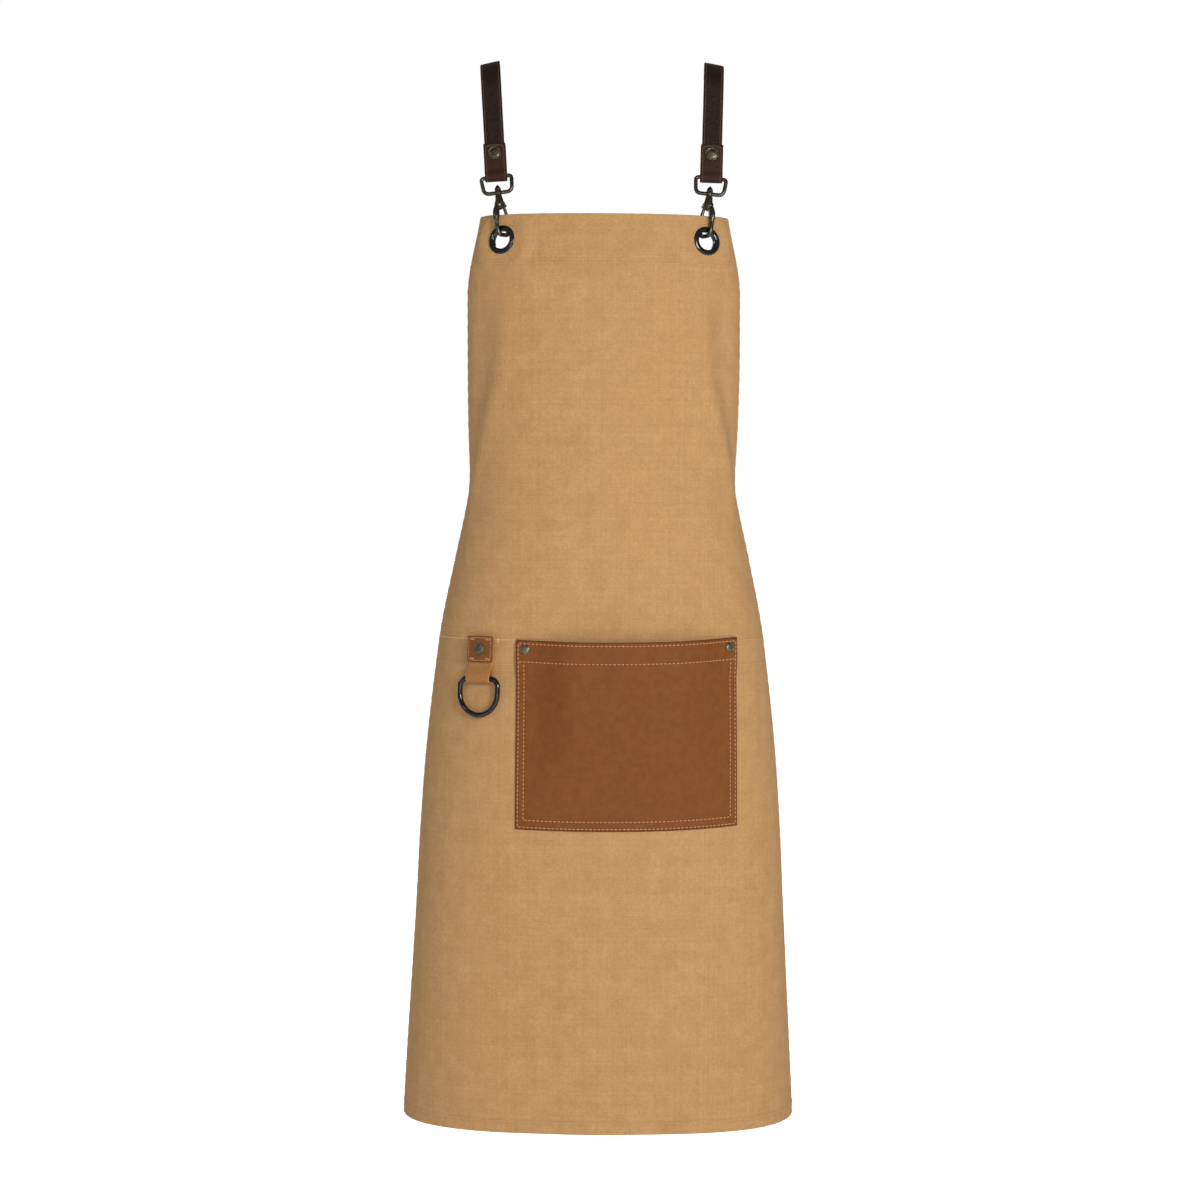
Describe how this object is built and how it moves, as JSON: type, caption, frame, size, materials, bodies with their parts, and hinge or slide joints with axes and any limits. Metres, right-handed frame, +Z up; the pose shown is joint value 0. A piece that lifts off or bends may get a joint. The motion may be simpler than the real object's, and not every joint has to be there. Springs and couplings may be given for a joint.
{
  "type": "butcher apron",
  "caption": "Bib apron in waxed canvas with a riveted leather tool pocket, a leather tab holding a metal ring, and leather shoulder straps on swivel snap hooks.",
  "frame": {"origin": "on the panel's centre plane, at the height and depth where the straps lie on the shoulders", "axes": "+Z up, -Y is where the wearer faces, +X to the right as seen from the front"},
  "size_m": [0.375, 0.1325, 1.0112],
  "materials": {
    "canvas": "waxed cotton canvas, tan",
    "canvas_tape": "cotton canvas tape, tan",
    "pocket_leather": "oiled tan leather, matt",
    "tab_leather": "oiled tan leather, matt",
    "strap_leather": "dark brown leather, satin",
    "strap_end_leather": "red-brown leather, satin",
    "black_metal": "polished black nickel",
    "antique_metal": "antique gunmetal plating on brass",
    "hook_metal": "cast zinc alloy, dark gunmetal plating",
    "spring_steel": "bright"
  },
  "bodies": {
    "apron": {"apron_panel": "canvas", "bib_facing": "canvas", "side_hem_left": "canvas", "side_hem_right": "canvas", "bottom_hem": "canvas", "waist_tape": "canvas_tape", "pocket_panel": "pocket_leather", "pocket_mouth_hem": "pocket_leather", "pocket_left_rivet": "antique_metal", "pocket_left_burr": "antique_metal", "pocket_right_rivet": "antique_metal", "pocket_right_burr": "antique_metal", "tab_strap": "tab_leather", "tab_patch": "tab_leather", "tab_rivet": "antique_metal", "tab_burr": "antique_metal", "left_eyelet": "black_metal", "left_eyelet_washer": "black_metal", "right_eyelet": "black_metal", "right_eyelet_washer": "black_metal"},
    "ring": {"d_ring": "black_metal"},
    "left_hook": {"left_hook_body": "hook_metal", "left_gate_pin": "spring_steel", "left_gate_spring": "spring_steel", "left_swivel_pin": "hook_metal"},
    "left_gate": {"left_hook_gate": "hook_metal"},
    "left_loop": {"left_strap_loop": "hook_metal"},
    "left_strap": {"left_strap": "strap_leather", "left_strap_end": "strap_end_leather", "left_strap_stud": "antique_metal", "left_strap_stud_back": "antique_metal"},
    "right_hook": {"right_hook_body": "hook_metal", "right_gate_pin": "spring_steel", "right_gate_spring": "spring_steel", "right_swivel_pin": "hook_metal"},
    "right_gate": {"right_hook_gate": "hook_metal"},
    "right_loop": {"right_strap_loop": "hook_metal"},
    "right_strap": {"right_strap": "strap_leather", "right_strap_end": "strap_end_leather", "right_strap_stud": "antique_metal", "right_strap_stud_back": "antique_metal"}
  },
  "joints": [
    {"name": "ring_swing", "type": "hinge", "parent": "apron", "child": "ring", "pos_m": [-0.11439, -0.071, -0.583], "axis": [-0.8807, 0.4737, 0], "range_deg": [0, 160]},
    {"name": "left_hook_swing", "type": "hinge", "parent": "apron", "child": "left_hook", "pos_m": [-0.09638, -0.05575, -0.171], "axis": [-0.4599, -0.874, 0.1565], "range_deg": [-30, 20]},
    {"name": "left_gate_turn", "type": "hinge", "parent": "left_hook", "child": "left_gate", "pos_m": [-0.09543, -0.04487, -0.13893], "axis": [-0.6837, 0.697, -0.2163], "range_deg": [0, 11], "stiffness_Nm_per_rad": 0.04, "springref_deg": -11.46},
    {"name": "left_swivel", "type": "hinge", "parent": "left_hook", "child": "left_loop", "pos_m": [-0.10022, -0.04693, -0.12614], "axis": [-0.1372, 0.1683, 0.9761], "continuous": true},
    {"name": "left_strap_swing", "type": "hinge", "parent": "left_loop", "child": "left_strap", "pos_m": [-0.10236, -0.0443, -0.11091], "axis": [0.9903, 0, 0.1392], "range_deg": [-100, 100]},
    {"name": "right_hook_swing", "type": "hinge", "parent": "apron", "child": "right_hook", "pos_m": [0.09638, -0.05575, -0.171], "axis": [0.4599, -0.874, 0.1565], "range_deg": [-20, 30]},
    {"name": "right_gate_turn", "type": "hinge", "parent": "right_hook", "child": "right_gate", "pos_m": [0.09459, -0.04487, -0.13893], "axis": [-0.6908, -0.697, 0.1923], "range_deg": [0, 11], "stiffness_Nm_per_rad": 0.04, "springref_deg": -11.46},
    {"name": "right_swivel", "type": "hinge", "parent": "right_hook", "child": "right_loop", "pos_m": [0.09894, -0.04693, -0.12598], "axis": [0.103, 0.1683, 0.9803], "continuous": true},
    {"name": "right_strap_swing", "type": "hinge", "parent": "right_loop", "child": "right_strap", "pos_m": [0.10055, -0.0443, -0.11069], "axis": [0.9945, 0, -0.1045], "range_deg": [-100, 100]}
  ]
}
